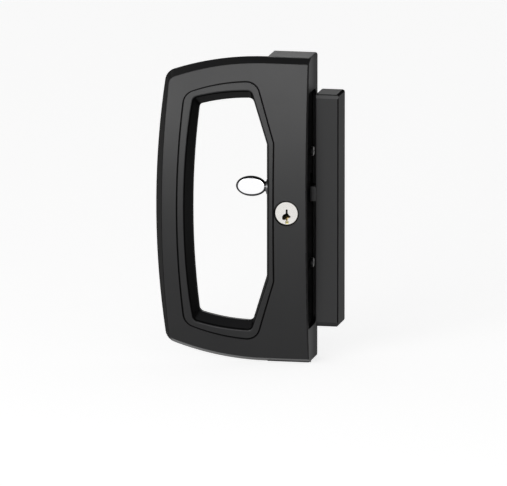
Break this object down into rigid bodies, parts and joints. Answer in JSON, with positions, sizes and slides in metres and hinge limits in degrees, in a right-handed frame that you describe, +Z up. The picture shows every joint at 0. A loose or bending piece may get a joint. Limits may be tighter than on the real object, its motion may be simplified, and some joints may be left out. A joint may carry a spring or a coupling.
{
  "type": "sliding door lock",
  "caption": "Surface lock for a sliding door: black D-shaped pull handle on a slim housing, chrome thumb-turn in the hand opening, key cylinder, hook bolt and a separate strike.",
  "frame": {"origin": "middle of the lock body's back, on the door's face, halfway between its fixing holes", "axes": "+X along the door towards the jamb and the strike, +Y into the door, +Z up the length of the handle; the room is on the -Y side"},
  "size_m": [0.106, 0.0325, 0.1764],
  "materials": {
    "black_coat": "satin black powder coat",
    "dark_plate": "black, satin",
    "dark_screws": "blackened, satin",
    "zinc_plate": "zinc plated",
    "steel_screws": "zinc plated",
    "steel_inner": "plain steel, lightly oiled",
    "bolt_steel": "grey, satin",
    "brass_shell": "dull",
    "brass": "plain",
    "grey_collar": "satin",
    "chrome": "polished",
    "satin_nickel": "satin"
  },
  "bodies": {
    "lock": {"lock_body": "black_coat", "edge_plate": "dark_plate", "edge_plate_screws": "dark_screws", "back_plate": "zinc_plate", "back_plate_screws": "steel_screws", "bolt_studs": "steel_inner", "deadlock_studs": "steel_inner", "cylinder_shell": "brass_shell", "cylinder_screw": "steel_screws", "chamber_cap": "brass", "driver_pins": "brass", "pin_springs": "steel_inner", "turn_collar": "grey_collar", "friction_washer": "steel_inner"},
    "turn": {"thumb_turn": "chrome", "turn_crank": "steel_inner", "crank_screw": "steel_screws"},
    "bolt": {"hook_bolt": "bolt_steel"},
    "key_cylinder": {"cylinder_plug": "satin_nickel", "key_pins": "brass", "cylinder_cam": "zinc_plate", "cam_screws": "steel_screws"},
    "deadlock": {"deadlock_slide": "steel_inner"},
    "strike": {"strike_cover": "black_coat", "strike_base": "zinc_plate", "keeper_plate": "steel_inner", "keeper_screws": "steel_screws"}
  },
  "joints": [
    {"name": "thumb_turn_hinge", "type": "hinge", "parent": "lock", "child": "turn", "pos_m": [-0.01, -0.025, 0.014], "axis": [1, 0, 0], "range_deg": [0, 90]},
    {"name": "hook_bolt_slide", "type": "slide", "parent": "lock", "child": "bolt", "axis": [0, 0, 1], "range_m": [0, 0.00707]},
    {"name": "key_plug_hinge", "type": "hinge", "parent": "lock", "child": "key_cylinder", "pos_m": [0.0007, -0.02, 0], "axis": [0, 1, 0], "range_deg": [0, 90]},
    {"name": "deadlock_slide_x", "type": "slide", "parent": "lock", "child": "deadlock", "axis": [1, 0, 0], "range_m": [0, 0.00424]},
    {"name": "door_travel", "type": "slide", "parent": "lock", "child": "strike", "axis": [1, 0, 0], "range_m": [0, 0.06]}
  ],
  "couplings": [
    {"joint": "thumb_turn_hinge", "follows": "hook_bolt_slide", "rad_per_m": 222.14},
    {"joint": "key_plug_hinge", "follows": "deadlock_slide_x", "rad_per_m": 370.24}
  ]
}
